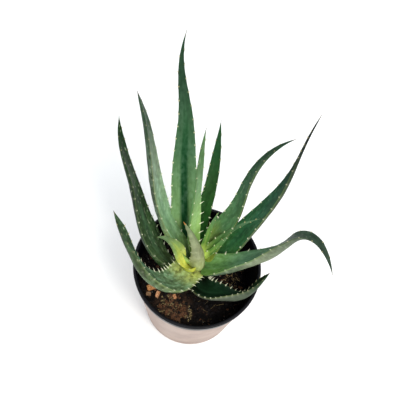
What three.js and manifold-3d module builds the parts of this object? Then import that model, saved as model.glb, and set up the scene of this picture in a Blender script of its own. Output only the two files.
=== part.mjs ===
// A potted aloe plant: a rosette of fifteen toothed leaves on a short stem, in potting mix in a tapered pot.
//
// Millimetres, +Z up. The origin is the middle of the pot's underside, and the side seen from the front is -Y.

import * as THREE from 'three';
import { mergeVertices } from 'three/addons/utils/BufferGeometryUtils.js';
import Module from 'manifold-3d';

// ---- driving dimensions ----

const GAP = 0.3; // clearance kept between two pieces that touch on the real plant
const FINEST = 0.01; // edges shorter than this are dropped where solids are cut or joined

const POT = {
  height: 130,
  rimRadius: 65,
  baseRadius: 50,
  wall: 2,
  floor: 2.5,
  lipWidth: 3.5, // the flat ring on top, seen from above
  collarHeight: 12, // the band under the lip, which stands proud of the wall
  collarProud: 1.5,
  edge: 0.8, // softening of the outer edges
  sides: 48,
};

const DRAIN = { count: 6, radius: 4, circle: 34, sides: 10 };

const SOIL = {
  top: 108, // level at the stem and round the left and the front
  fall: 30, // how much lower it lies against the wall on the low side
  lowSide: 12, // degrees from +X to the low side
  fallStart: -0.1, // where the fall starts, as a share of the radius past the middle
  fallPower: 1.4, // how much steeper it gets towards the wall
  clodHeight: 1.2, // height of the uneven surface
  clodSizes: [4.3, 5.1, 3.1], // lengths in mm that set how far apart its humps lie
  rings: 6,
  sides: 36,
};

const STEM = { radius: 7, foot: 84, footRadius: 5, footTaper: 3, shoulder: 140, top: 150, tipRadius: 3, sides: 14 };

const CHIP = { sides: 5, topWidth: 0.4, bottomWidth: 0.5, lift: 0.5 }; // shares of its size, and mm out of the mix

const CHIPS = {
  bark_flat: { at: [-42, -26], size: [9, 6, 3], turn: 30, lean: 10 },
  bark_upright: { at: [-34, -33], size: [10.5, 4, 3], turn: 80, lean: 30 },
  bark_middle: { at: [-16, -30], size: [5, 3.5, 2.5], turn: 120, lean: 20 },
  bark_small: { at: [-43, -33], size: [5, 4, 2.5], turn: 10, lean: 15 },
};

// A leaf starts on the stem at `height` and runs `length` mm. The lists hold evenly spaced values from base to
// tip: `rise` is the heading above the horizontal and `turn` its compass angle from +X, `twist` is the roll of
// the blade about its own line, all in degrees, and `across` is the width in mm, which ends in a point.
// `teeth` is the spacing of the marginal teeth near the base and near the tip, and `tooth` their length.
// `start` is the distance of the base from the middle of the stem, where it isn't the usual one.
// The list runs from the heart of the rosette down the stem, and each leaf is shaped round those before it.
const LEAVES = {
  leaf_heart: {
    start: 4, height: 137, length: 82, rise: [100, 109, 113, 116], turn: [-92, -46, -27, -14],
    across: [17.5, 18, 10.5, 6], twist: [-24, -4], teeth: [9, 9], tooth: 1.2, colour: '#7f9d7b',
  },
  leaf_young_short: {
    height: 151, length: 36, rise: [46, 42, 40], turn: [36, 47, 46],
    across: [6, 6, 5, 4], twist: [9, 2], teeth: [10, 11], tooth: 2, colour: '#8bb257',
  },
  leaf_young_slim: {
    height: 150, length: 58, rise: [60, 58, 52], turn: [80, 79, 57],
    across: [7, 6.5, 4.5, 3], twist: [0, 0], teeth: [14, 14], tooth: 1.5, colour: '#7cab5c',
  },
  leaf_young_right: {
    height: 149, length: 76, rise: [46, 43, 35, 30], turn: [54, 46, 30, 13],
    across: [10.5, 8, 4.5, 2.5], twist: [0, 0], teeth: [11, 12], tooth: 2, colour: '#4c7a4b',
  },
  leaf_inner_upright: {
    height: 146, length: 179, rise: [67, 71, 72, 71, 71], turn: [135, 101, 102, 100, 88],
    across: [15.5, 14.5, 9, 6.5], twist: [-32, -47, -30], teeth: [13, 20], tooth: 4.5, colour: '#6f9e62',
  },
  leaf_young_left: {
    height: 142, length: 73, rise: [36, 58, 51, 41], turn: [241, 139, 165, 218],
    across: [10, 11, 15.5, 7], twist: [-52, 14], teeth: [14, 14], tooth: 1.5, colour: '#a3b43c',
  },
  leaf_right_arching: {
    height: 141, length: 163, rise: [43, 46, 47, 41, 31], turn: [70, 54, 79, 53, 16],
    across: [25, 22.5, 12, 7.5], twist: [2, 22, 39, 26], teeth: [10, 15], tooth: 3, colour: '#557f50',
  },
  leaf_back_left: {
    height: 141, length: 214, rise: [50, 52, 57, 65, 74], turn: [164, 140, 120, 124, 154],
    across: [24, 21, 20, 14.5], twist: [-33, -42, -62, -40], teeth: [14, 16], tooth: 3, colour: '#6b957c',
  },
  leaf_right_drooping: {
    height: 136, length: 185, rise: [38, 37, 43, 66, 64, -1, -38], turn: [-8, 14, 14, 18, 9, -42, -62],
    across: [24, 25, 20, 10], twist: [-11, 33, 47, 61, 39, 5, -1], teeth: [12, 14], tooth: 3,
    colour: '#5d8a66',
  },
  leaf_back_right: {
    height: 133, length: 163, rise: [55, 55, 57, 59], turn: [114, 83, 93, 99],
    across: [17, 16.5, 12.5, 8.5], twist: [0, 0], teeth: [12, 14], tooth: 2.5, colour: '#2c5a31',
  },
  leaf_front_left: {
    height: 133, length: 150, rise: [53, 39, 42, 45, 32, 28], turn: [233, 244, 190, 148, 133, 130],
    across: [27, 31, 21.5, 18], twist: [6, -7, -59, -71, -8], teeth: [6, 10], tooth: 4.5, colour: '#5b8a70',
  },
  leaf_tall_back: {
    height: 120, length: 259, rise: [60, 60, 56, 55, 51, 48], turn: [143, 113, 107, 103, 115, 80],
    across: [26, 26.5, 22, 10.5], twist: [0, 0], teeth: [11, 14], tooth: 3, colour: '#5a8a5c',
  },
  leaf_front_right_low: {
    height: 117, length: 97, rise: [16, 18, 20, 33, 42], turn: [-84, -10, 0, 47, 46],
    across: [25.5, 24.5, 20.5, 14.5], twist: [11, 26, 74, 44], teeth: [5, 6], tooth: 4, colour: '#37633f',
  },
  leaf_left: {
    height: 115, length: 201, rise: [28, 41, 48, 53, 63], turn: [198, 143, 123, 129, 103],
    across: [23.5, 27.5, 19.5, 14], twist: [-68, -37, -57, -27], teeth: [12, 14], tooth: 3, colour: '#3a6143',
  },
  leaf_right_long: {
    height: 114, length: 211, rise: [45, 49, 46, 44, 42], turn: [37, 47, 54, 75, 63],
    across: [30, 24, 16, 1.7], twist: [6, 21, 41, 52], teeth: [12, 15], tooth: 3, colour: '#3d6a4b',
  },
};

const BLADE = {
  start: 6, // usual distance of a leaf's base from the middle of the stem
  steps: 60, // steps in which the heading is followed
  station: 14, // widest spacing of the cross-sections
  stations: [6, 10, 12, 15, 20], // numbers of them to choose from
  bareBase: 13, // longest stretch without teeth where the leaf clasps the stem
  bareShare: 0.2, // the same on a short leaf, as a share of its length
  bareTip: 0.06, // share of the length without teeth at the tip
  thickness: 0.37, // of the rounded flesh under the channel, as a share of the base width
  thinning: 0.7, // how fast the thickness runs out towards the tip
  dome: 0.4, // length of the rounded base, as a share of the base width
  foot: 0.3, // share of its full section that the very end of the base has
  channel: 0.22, // height of the raised margins, as a share of the half width
  clasp: 0.5, // more of the same at the base, which wraps the stem
  claspLength: 14,
  margin: 0.5, // half the thickness of the margin itself
  tip: 0.5, // half width and least thickness at the blunt tip
};

const TOOTH = {
  spread: 1.3, // half the width of a tooth along the margin
  depth: 0.7, // half its thickness
  root: 1.4, // how far it is sunk into the blade
  lean: 0.35, // forward lean towards the tip
  shrink: 0.45, // how much smaller the last teeth are, at the tip
};

const SECTION = [-1, -0.6, 0, 0.6, 1]; // places across the blade, from margin to margin

// ---- helpers ----

const wasm = await Module();
wasm.setup();

const radians = THREE.MathUtils.degToRad;

/** A closed geometry's position and index alone, with equal points merged and empty triangles dropped. */
function closed(geometry) {
  geometry.deleteAttribute('normal');
  geometry.deleteAttribute('uv');
  const merged = mergeVertices(geometry, 1e-4);
  const corners = merged.index.array;
  const kept = [];
  for (let i = 0; i < corners.length; i += 3) {
    const [a, b, c] = corners.subarray(i, i + 3);
    if (a !== b && b !== c && c !== a) kept.push(a, b, c);
  }
  merged.setIndex(kept);
  return merged;
}

/** The solid of a closed geometry, for cutting and joining. */
function solid(geometry) {
  const merged = closed(geometry);
  return new wasm.Manifold(new wasm.Mesh({
    numProp: 3,
    vertProperties: new Float32Array(merged.attributes.position.array),
    triVerts: new Uint32Array(merged.index.array),
    tolerance: FINEST,
  }));
}

/** The largest body of a solid: loose scraps of a cut are dropped. */
function mainBody(cut) {
  const bodies = cut.decompose();
  return bodies.reduce((best, body) => (body.volume() > best.volume() ? body : best));
}

/** A named mesh of a solid. */
function piece(name, body, material) {
  const mesh = body.getMesh();
  const geometry = new THREE.BufferGeometry();
  geometry.setAttribute('position', new THREE.BufferAttribute(mesh.vertProperties, 3));
  geometry.setIndex(new THREE.BufferAttribute(mesh.triVerts, 1));
  geometry.computeVertexNormals();
  const result = new THREE.Mesh(geometry, material);
  result.name = name;
  return result;
}

/** A solid of revolution about +Z, from a profile of [radius, height] points. */
function turned(profile, sides) {
  const points = profile.map(([radius, height]) => new THREE.Vector2(radius, height));
  return new THREE.LatheGeometry(points, sides).rotateX(Math.PI / 2);
}

/** The value at t, from 0 to 1, of a smooth curve through evenly spaced values. */
function smooth(values, t) {
  const last = values.length - 1;
  const place = THREE.MathUtils.clamp(t, 0, 1) * last;
  const i = Math.min(Math.floor(place), last - 1);
  const f = place - i;
  const slope = (k) => {
    if (k === 0) return values[1] - values[0];
    if (k === last) return values[last] - values[last - 1];
    return (values[k + 1] - values[k - 1]) / 2;
  };
  const [f2, f3] = [f * f, f * f * f];
  return (2 * f3 - 3 * f2 + 1) * values[i] + (f3 - 2 * f2 + f) * slope(i)
    + (3 * f2 - 2 * f3) * values[i + 1] + (f3 - f2) * slope(i + 1);
}

// ---- pot ----

/** The radius of the pot's inner wall at a height. */
function innerRadius(z) {
  const top = POT.rimRadius - POT.lipWidth;
  const bottom = POT.baseRadius - POT.wall;
  return bottom + (top - bottom) * z / POT.height;
}

function makePot() {
  const { height, rimRadius, baseRadius, wall, floor, lipWidth, collarHeight, collarProud, edge, sides } = POT;
  const collarFoot = height - collarHeight;
  const wallTop = innerRadius(collarFoot) + wall;
  const body = solid(turned([
    [0, 0],
    [baseRadius - edge, 0],
    [baseRadius, edge],
    [wallTop, collarFoot],
    [wallTop + collarProud, collarFoot + edge],
    [rimRadius, height - edge],
    [rimRadius - edge, height],
    [rimRadius - lipWidth + edge, height],
    [innerRadius(height - edge), height - edge],
    [innerRadius(floor + edge), floor + edge],
    [innerRadius(floor) - edge, floor],
    [0, floor],
  ], sides));
  const holes = Array.from({ length: DRAIN.count }, (_, i) => {
    const angle = i / DRAIN.count * 2 * Math.PI;
    const cutter = new THREE.CylinderGeometry(DRAIN.radius, DRAIN.radius, 3 * floor, DRAIN.sides);
    cutter.rotateX(Math.PI / 2);
    cutter.translate(DRAIN.circle * Math.cos(angle), DRAIN.circle * Math.sin(angle), 0);
    return solid(cutter);
  });
  return holes.reduce((cut, hole) => cut.subtract(hole), body);
}

// ---- potting mix ----

/** The level of the potting mix at a place: high round the stem and the left, falling to the low side. */
function soilLevel(x, y) {
  const low = radians(SOIL.lowSide);
  const across = (x * Math.cos(low) + y * Math.sin(low)) / innerRadius(SOIL.top);
  const share = Math.max(0, (across - SOIL.fallStart) / (1 - SOIL.fallStart));
  const [first, second, third] = SOIL.clodSizes;
  const clods = Math.sin(x / first + 1) * Math.cos(y / second) + 0.6 * Math.sin((x + y) / third);
  return SOIL.top - SOIL.fall * share ** SOIL.fallPower + SOIL.clodHeight * clods;
}

function makeSoil(cutters) {
  const foot = POT.floor + GAP;
  const reach = innerRadius(SOIL.top) - GAP;
  const profile = [[0, foot], [innerRadius(foot) - POT.edge - GAP, foot]];
  for (let ring = SOIL.rings; ring >= 0; ring -= 1) profile.push([reach * ring / SOIL.rings, SOIL.top]);
  const geometry = closed(turned(profile, SOIL.sides));
  const places = geometry.attributes.position;
  for (let i = 0; i < places.count; i += 1) {
    const [x, y, z] = [places.getX(i), places.getY(i), places.getZ(i)];
    const radius = Math.hypot(x, y);
    if (z > foot + GAP) {
      const level = soilLevel(x, y);
      const onWall = radius > reach - FINEST;
      const pull = onWall ? (innerRadius(level) - GAP) / radius : 1;
      places.setXYZ(i, x * pull, y * pull, level);
    }
  }
  return cutters.reduce((cut, cutter) => cut.subtract(cutter), solid(geometry));
}

// ---- stem ----

/** The stem, or with `grow` the room that it needs. */
function makeStem(grow = 0) {
  const { radius, foot, footRadius, footTaper, shoulder, top, tipRadius, sides } = STEM;
  return solid(turned([
    [0, foot - grow],
    [footRadius + grow, foot - grow],
    [radius + grow, foot + footTaper],
    [radius + grow, shoulder],
    [tipRadius + grow, top + grow],
    [0, top + grow],
  ], sides));
}

// ---- bark chips ----

/** A chip of bark: a five-sided slab, half sunk in the potting mix, or with `grow` its pocket. */
function makeChip({ at, size, turn, lean }, grow = 0) {
  const [long, wide, thick] = size.map((measure) => measure + 2 * grow);
  const slab = new THREE.CylinderGeometry(CHIP.topWidth, CHIP.bottomWidth, 1, CHIP.sides);
  slab.rotateX(Math.PI / 2).scale(long, wide, thick).rotateY(-radians(lean)).rotateZ(radians(turn));
  return solid(slab.translate(at[0], at[1], soilLevel(...at) + CHIP.lift));
}

// ---- leaves ----

/** The place and the directions of a leaf's blade at evenly spaced steps from base to tip. */
function followLeaf({ start = BLADE.start, height, length, rise, turn, twist }) {
  const heading = (t) => {
    const [e, a] = [radians(smooth(rise, t)), radians(smooth(turn, t))];
    return new THREE.Vector3(Math.cos(e) * Math.cos(a), Math.cos(e) * Math.sin(a), Math.sin(e));
  };
  const upward = (t) => {
    const [e, a] = [radians(smooth(rise, t)), radians(smooth(turn, t))];
    return new THREE.Vector3(-Math.sin(e) * Math.cos(a), -Math.sin(e) * Math.sin(a), Math.cos(e));
  };
  const from = radians(turn[0]);
  const place = new THREE.Vector3(start * Math.cos(from), start * Math.sin(from), height);
  const frames = [];
  for (let k = 0; k <= BLADE.steps; k += 1) {
    const t = k / BLADE.steps;
    const along = heading(t);
    if (k > 0) {
      const step = along.clone().add(frames[k - 1].along).multiplyScalar(length / BLADE.steps / 2);
      place.add(step);
    }
    const roll = radians(smooth(twist, t));
    const across = new THREE.Vector3().crossVectors(along, upward(t)).applyAxisAngle(along, -roll);
    const up = new THREE.Vector3().crossVectors(across, along);
    frames.push({ t, place: place.clone(), along, across, up });
  }
  return frames;
}

/** The cross-section of a leaf: half width, height of the margins over the middle, and thickness. */
function sectionOf({ length, across }, t) {
  const short = Math.max(1 - t * length / (BLADE.dome * across[0]), 0);
  const round = Math.max(Math.sqrt(1 - short * short), BLADE.foot);
  const half = Math.max(round * smooth([...across, 0], t) / 2, BLADE.tip);
  const channel = half * (BLADE.channel + BLADE.clasp * Math.exp(-t * length / BLADE.claspLength));
  const thickness = Math.max(round * BLADE.thickness * across[0] * (1 - t) ** BLADE.thinning, BLADE.tip);
  return { half, channel, thickness };
}

/** A blade without teeth, or with `grow` the room that it needs. */
function makeBlade(leaf, frames, grow = 0) {
  const count = BLADE.stations.find((option) => option >= leaf.length / BLADE.station);
  const evenly = Array.from({ length: count }, (_, k) => frames[(k + 1) * BLADE.steps / count]);
  const rings = [frames[0], frames[1], ...evenly];
  const positions = [];
  rings.forEach(({ t, place, along, across, up }) => {
    const { half, channel, thickness } = sectionOf(leaf, t);
    const shift = t === 0 ? -grow : (t === 1 ? grow : 0);
    const point = (s, depth, side) => {
      const slope = new THREE.Vector2(half, 2 * (channel + depth) * s).normalize();
      const offset = new THREE.Vector2(-slope.y, slope.x).multiplyScalar(side * grow);
      if (Math.abs(s) === 1) offset.addScaledVector(slope, s * grow);
      const at = place.clone().addScaledVector(along, shift).addScaledVector(across, s * half + offset.x);
      at.addScaledVector(up, channel * s * s - depth * Math.sqrt(1 - s * s) + side * BLADE.margin + offset.y);
      positions.push(at.x, at.y, at.z);
    };
    SECTION.forEach((s) => point(s, 0, 1));
    SECTION.forEach((s) => point(s, thickness, -1));
  });
  return solid(loft(positions, rings.length - 1));
}

/** The skin over rings of points: an upper row and a lower row in each, split alike on both faces. */
function loft(positions, count) {
  const wide = SECTION.length;
  const index = [];
  const quad = (a, b, c, d) => index.push(a, b, c, a, c, d);
  const top = (k, i) => k * 2 * wide + i;
  const under = (k, i) => top(k, i) + wide;
  for (let k = 0; k < count; k += 1) {
    for (let i = 0; i + 1 < wide; i += 1) {
      quad(top(k, i), top(k, i + 1), top(k + 1, i + 1), top(k + 1, i));
      index.push(under(k, i), under(k + 1, i + 1), under(k, i + 1));
      index.push(under(k, i), under(k + 1, i), under(k + 1, i + 1));
    }
    quad(top(k, 0), top(k + 1, 0), under(k + 1, 0), under(k, 0));
    quad(under(k, wide - 1), under(k + 1, wide - 1), top(k + 1, wide - 1), top(k, wide - 1));
  }
  for (let i = 0; i + 1 < wide; i += 1) {
    quad(top(0, i), under(0, i), under(0, i + 1), top(0, i + 1));
    quad(top(count, i), top(count, i + 1), under(count, i + 1), under(count, i));
  }
  const geometry = new THREE.BufferGeometry();
  geometry.setAttribute('position', new THREE.Float32BufferAttribute(positions, 3));
  geometry.setIndex(index);
  return geometry;
}

/** The teeth of a leaf: three-sided thorns along both margins, sunk well into the blade. */
function makeTeeth(leaf, frames) {
  const [gapAtBase, gapAtTip] = leaf.teeth;
  const teeth = [];
  const bareBase = Math.min(BLADE.bareBase, BLADE.bareShare * leaf.length);
  for (const side of [-1, 1]) {
    let distance = bareBase + (side > 0 ? gapAtBase / 2 : 0);
    while (distance < leaf.length * (1 - BLADE.bareTip)) {
      const t = distance / leaf.length;
      teeth.push(makeTooth(leaf, frames[Math.round(t * BLADE.steps)], side));
      distance += gapAtBase + (gapAtTip - gapAtBase) * t;
    }
  }
  return teeth;
}

/** One thorn on the margin at a frame. It carries the slope of the channel on, and leans to the tip. */
function makeTooth(leaf, { t, place, along, across, up }, side) {
  const { half, channel } = sectionOf(leaf, t);
  const margin = place.clone().addScaledVector(across, side * half).addScaledVector(up, channel);
  const out = across.clone().multiplyScalar(side * half).addScaledVector(up, 2 * channel).normalize();
  out.addScaledVector(along, TOOTH.lean).normalize();
  const flat = new THREE.Vector3().crossVectors(out, along).normalize();
  const length = new THREE.Vector3().crossVectors(flat, out);
  const root = Math.min(TOOTH.root, half);
  const tall = leaf.tooth * (1 - TOOTH.shrink * t) + root;
  const slim = 1 - TOOTH.shrink * t;
  const thorn = new THREE.ConeGeometry(1, tall, 3).translate(0, tall / 2 - root, 0);
  thorn.scale(TOOTH.depth * slim, 1, TOOTH.spread * slim);
  return solid(thorn.applyMatrix4(new THREE.Matrix4().makeBasis(flat, out, length).setPosition(margin)));
}

/** Every leaf, from the heart outwards, each shaped round the stem and the leaves before it. */
function makeLeaves() {
  const grown = Object.entries(LEAVES).map(([name, leaf]) => {
    const frames = followLeaf(leaf);
    return { name, leaf, frames, room: makeBlade(leaf, frames, GAP) };
  });
  const meets = (tooth, other) => !tooth.intersect(other).isEmpty();
  const taken = [];
  return grown.map(({ name, leaf, frames }, i) => {
    const others = [...grown.filter((other, k) => k !== i).map((other) => other.room), ...taken];
    const teeth = makeTeeth(leaf, frames).filter((tooth) => !others.some((other) => meets(tooth, other)));
    taken.push(...teeth);
    const rooms = [makeStem(GAP), ...grown.slice(0, i).map((other) => other.room)];
    const blade = rooms.reduce((cut, room) => cut.subtract(room), makeBlade(leaf, frames));
    return { name, leaf, body: mainBody(wasm.Manifold.union([blade, ...teeth])) };
  });
}

// ---- the plant in its pot ----

const finish = {
  pot: new THREE.MeshStandardMaterial({ color: '#b4a5a0', roughness: 0.55, metalness: 0 }),
  soil: new THREE.MeshStandardMaterial({ color: '#2b201c', roughness: 1, metalness: 0 }),
  stem: new THREE.MeshStandardMaterial({ color: '#8a9150', roughness: 0.8, metalness: 0 }),
  bark: new THREE.MeshStandardMaterial({ color: '#b98a5c', roughness: 0.9, metalness: 0 }),
};

const aloe = new THREE.Group();
aloe.add(piece('pot', makePot(), finish.pot));
const chips = Object.entries(CHIPS);
const pockets = chips.map(([, chip]) => makeChip(chip, GAP));
aloe.add(piece('soil', makeSoil([makeStem(GAP), ...pockets]), finish.soil));
aloe.add(piece('stem', makeStem(), finish.stem));
chips.forEach(([name, chip]) => aloe.add(piece(name, makeChip(chip), finish.bark)));
makeLeaves().forEach(({ name, leaf, body }) => {
  const skin = new THREE.MeshStandardMaterial({ color: leaf.colour, roughness: 0.5, metalness: 0 });
  aloe.add(piece(name, body, skin));
});

export default aloe;
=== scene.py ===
"""The looks of a potted aloe: waxy toothed leaves, a nursery pot and loose potting mix, in a studio."""

import logging
import math
import random
from contextlib import contextmanager
from dataclasses import dataclass
from enum import Enum
from typing import Iterator, Protocol, Sequence

import bmesh
import bpy
import numpy as np
from mathutils import Matrix, Vector, noise


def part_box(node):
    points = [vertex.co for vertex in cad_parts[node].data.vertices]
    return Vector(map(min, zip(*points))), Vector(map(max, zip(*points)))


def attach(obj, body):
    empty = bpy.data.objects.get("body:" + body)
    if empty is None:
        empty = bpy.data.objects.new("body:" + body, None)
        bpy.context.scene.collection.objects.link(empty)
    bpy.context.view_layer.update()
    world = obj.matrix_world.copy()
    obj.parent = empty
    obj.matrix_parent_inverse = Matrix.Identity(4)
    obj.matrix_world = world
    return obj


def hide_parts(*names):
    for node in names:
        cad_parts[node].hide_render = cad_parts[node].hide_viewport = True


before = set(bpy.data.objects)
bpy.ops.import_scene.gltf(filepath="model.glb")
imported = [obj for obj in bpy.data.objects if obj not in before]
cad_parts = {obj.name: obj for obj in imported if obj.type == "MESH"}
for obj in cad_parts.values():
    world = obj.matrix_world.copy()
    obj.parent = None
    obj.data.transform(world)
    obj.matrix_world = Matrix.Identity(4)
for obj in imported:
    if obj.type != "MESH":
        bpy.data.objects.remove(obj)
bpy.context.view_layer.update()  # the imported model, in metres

log = logging.getLogger("aloe")

MM = 0.001  # one millimetre in the scene's metres
SEED = 11  # of every random draw
USUAL = (0.3, 0.7)  # between which a noise texture's values mostly lie

Material = bpy.types.Material
Piece = bpy.types.Object
Socket = bpy.types.NodeSocket
Stations = tuple[float, ...]


# ---- colour and shader nodes ----


def linear(hex_colour: str) -> tuple[float, float, float, float]:
    """Turns an sRGB hex colour to the linear values that shaders take.

    Args:
        hex_colour: A colour such as "#7a9b5c".

    Returns:
        Linear red, green and blue, and a full alpha.
    """
    parts = [int(hex_colour[i:i + 2], 16) / 255 for i in (1, 3, 5)]
    values = [c / 12.92 if c <= 0.04045 else ((c + 0.055) / 1.055) ** 2.4 for c in parts]
    return (*values, 1.0)


class Node(Enum):
    """The shader nodes in use: type, settings, inputs in the order they are given, and output."""

    NUMBER = ("Attribute", {}, (), "Fac")
    VECTOR = ("Attribute", {}, (), "Vector")
    PLACE = ("TexCoord", {}, (), "Object")
    HEIGHT = ("SeparateXYZ", {}, (0,), "Z")
    DISTANCE = ("VectorMath", {"operation": "DISTANCE"}, (0, 1), "Value")
    STRETCH = ("Mapping", {}, ("Vector", "Scale"), 0)
    NOISE = ("TexNoise", {}, ("Vector", "Scale", "Detail", "Roughness"), "Fac")
    CELLS = ("TexVoronoi", {}, ("Vector", "Scale"), "Distance")
    ABSOLUTE = ("Math", {"operation": "ABSOLUTE"}, (0,), 0)
    ADD = ("Math", {"operation": "ADD"}, (0, 1), 0)
    MULTIPLY = ("Math", {"operation": "MULTIPLY"}, (0, 1), 0)
    EASE = ("MapRange", {"interpolation_type": "SMOOTHSTEP"}, (0, 1, 2, 3, 4), 0)
    RAMP = ("ValToRGB", {}, ("Fac",), "Color")
    MIX = ("Mix", {"data_type": "RGBA"}, (0, 6, 7), 2)
    BRIGHTEN = ("HueSaturation", {}, ("Value", "Color"), "Color")
    BUMP = ("Bump", {}, ("Strength", "Distance", "Height"), "Normal")


class Surface:
    """A material in the making: its node tree, and the Principled shader that a new material starts with."""

    def __init__(self, name: str) -> None:
        """Starts a material."""
        self.material = bpy.data.materials.new(name)
        self.material.use_nodes = True
        self.tree = self.material.node_tree
        self.shader = self.tree.nodes["Principled BSDF"]

    def feed(self, node: bpy.types.Node, inputs: dict) -> None:
        """Links or sets a node's inputs.

        Args:
            node: The node.
            inputs: By name or number, a socket to link, a value, or a hex colour.
        """
        for name, value in inputs.items():
            if isinstance(value, Socket):
                self.tree.links.new(value, node.inputs[name])
            else:
                node.inputs[name].default_value = linear(value) if isinstance(value, str) else value

    def add(self, kind: Node, *inputs, stops: Sequence[tuple[float, str]] = (), **settings) -> Socket:
        """Adds a node with its settings, and links or sets its inputs.

        Args:
            kind: The kind of node.
            *inputs: What goes into the kind's inputs, in their order.
            stops: For a colour ramp, its positions and hex colours.
            **settings: More attributes of the node.

        Returns:
            The kind's output.
        """
        node_type, fixed, names, output = kind.value
        node = self.tree.nodes.new("ShaderNode" + node_type)
        for name, value in {**fixed, **settings}.items():
            setattr(node, name, value)
        self.feed(node, dict(zip(names, inputs)))
        if stops:
            ramp = node.color_ramp
            while len(ramp.elements) < len(stops):
                ramp.elements.new(1.0)
            for element, (position, colour) in zip(ramp.elements, stops):
                element.position = position
                element.color = linear(colour)
        return node.outputs[output]

    def finish(self, colour: Socket, roughness: Socket, relief: Socket, strength: float, depth: float,
               specular: float, ior: float = 1.5) -> Material:
        """Feeds the shader.

        Args:
            colour: The colour.
            roughness: The roughness.
            relief: The height of the relief.
            strength: The strength of the bump.
            depth: The depth of the relief in mm.
            specular: The specular level.
            ior: The index of refraction.

        Returns:
            The finished material.
        """
        bump = self.add(Node.BUMP, strength, depth * MM, relief)
        self.feed(self.shader, {"Base Color": colour, "Roughness": roughness, "Normal": bump,
                                "Specular IOR Level": specular, "IOR": ior})
        return self.material


# ---- modelling helpers ----


def select_only(piece: Piece) -> None:
    """Makes a piece the only one selected, and the active one."""
    bpy.ops.object.select_all(action="DESELECT")
    piece.select_set(True)
    bpy.context.view_layer.objects.active = piece


@contextmanager
def editing(piece: Piece) -> Iterator[None]:
    """Opens a piece in edit mode with nothing selected, and closes it again.

    Args:
        piece: The mesh object to edit.

    Yields:
        Nothing.
    """
    select_only(piece)
    bpy.ops.object.mode_set(mode="EDIT")
    bpy.ops.mesh.select_mode(type="VERT")
    bpy.ops.mesh.select_all(action="DESELECT")
    yield
    bpy.ops.object.mode_set(mode="OBJECT")


def named(name: str) -> Piece:
    """Names the active object and its mesh, and puts its origin at the frame's origin."""
    piece = bpy.context.object
    piece.name = name
    piece.data.name = name
    bpy.ops.object.transform_apply(location=True, rotation=True, scale=True)
    return piece


def primitive(name: str, shape: str, **sizes) -> Piece:
    """Adds a primitive, with nothing else selected.

    Args:
        name: The piece's name.
        shape: The primitive, as its operator names it.
        **sizes: The operator's own settings.

    Returns:
        The piece.
    """
    bpy.ops.object.select_all(action="DESELECT")
    getattr(bpy.ops.mesh, f"primitive_{shape}_add")(**sizes)
    return named(name)


def cut_edges(piece: Piece, cuts: int, axis: int | None = None) -> None:
    """Cuts the long edges of a primitive one unit in size.

    Args:
        piece: The piece.
        cuts: How many cuts each edge gets.
        axis: 0, 1 or 2 for the edges that run along x, y or z, and None for all edges.
    """
    with editing(piece):
        bpy.ops.mesh.select_mode(type="EDGE")
        shape = bmesh.from_edit_mesh(piece.data)
        for edge in shape.edges:
            start, end = (vertex.co for vertex in edge.verts)
            edge.select_set(axis is None or abs(start[axis] - end[axis]) > 0.5)
        bmesh.update_edit_mesh(piece.data)
        bpy.ops.mesh.subdivide(number_cuts=cuts)


def apply_modifier(piece: Piece, kind: str, **settings) -> None:
    """Adds a modifier with its settings and applies it.

    Args:
        piece: The object.
        kind: The modifier's type.
        **settings: Its attributes.
    """
    select_only(piece)
    modifier = piece.modifiers.new(kind.title(), kind)
    for name, value in settings.items():
        setattr(modifier, name, value)
    bpy.ops.object.modifier_apply(modifier=modifier.name)


def points_of(piece: Piece) -> np.ndarray:
    """Reads a mesh's vertex places as an array of rows."""
    places = np.empty(3 * len(piece.data.vertices))
    piece.data.vertices.foreach_get("co", places)
    return places.reshape(-1, 3)


def move_points(piece: Piece, places: np.ndarray) -> None:
    """Writes a mesh's vertex places."""
    piece.data.vertices.foreach_set("co", places.astype(np.float32).ravel())
    piece.data.update()


def write_attributes(piece: Piece, **values: np.ndarray) -> None:
    """Stores numbers or vectors for the vertices, for the material to read.

    Args:
        piece: The mesh object.
        **values: By attribute name, one number or one row of three for each vertex.
    """
    for name, rows in values.items():
        kind, key = ("FLOAT", "value") if rows.ndim == 1 else ("FLOAT_VECTOR", "vector")
        layer = piece.data.attributes.new(name, kind, "POINT")
        layer.data.foreach_set(key, rows.astype(np.float32).ravel())


def spun(name: str, outline: Sequence[tuple[float, float]], steps: int) -> Piece:
    """Draws half an outline point by point and spins it round +Z into a closed piece.

    Args:
        name: The piece's name.
        outline: (radius, height) points in millimetres, from the axis, round the outside, to the axis.
        steps: How many steps make the turn.

    Returns:
        The piece.
    """
    piece = primitive(name, "plane", size=MM, location=(0, 0, 0))
    places = [Vector((radius, 0, height)) * MM for radius, height in outline]
    with editing(piece):
        bpy.ops.mesh.select_all(action="SELECT")
        bpy.ops.mesh.merge(type="CENTER")
        bpy.ops.transform.translate(value=places[0])
        for last, place in zip(places, places[1:]):
            bpy.ops.mesh.extrude_region_move(TRANSFORM_OT_translate={"value": place - last})
        bpy.ops.mesh.select_all(action="SELECT")
        bpy.ops.mesh.spin(steps=steps, angle=math.tau, center=(0, 0, 0), axis=(0, 0, 1))
        bpy.ops.mesh.select_all(action="SELECT")
        bpy.ops.mesh.remove_doubles(threshold=0.01 * MM)
        bpy.ops.mesh.normals_make_consistent(inside=False)
    return piece


def joined(name: str, pieces: Sequence[Piece]) -> Piece:
    """Joins pieces into the first of them.

    Args:
        name: The name of the result.
        pieces: The pieces, of which the first keeps its origin.

    Returns:
        The joined piece.
    """
    select_only(pieces[0])
    for piece in pieces:
        piece.select_set(True)
    bpy.ops.object.join()
    return named(name)


def placed_copy(model: Piece, place: Matrix) -> Piece:
    """Copies a piece with its own mesh, at a place."""
    copy = model.copy()
    copy.data = model.data.copy()
    copy.matrix_world = place
    bpy.context.collection.objects.link(copy)
    return copy


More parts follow.
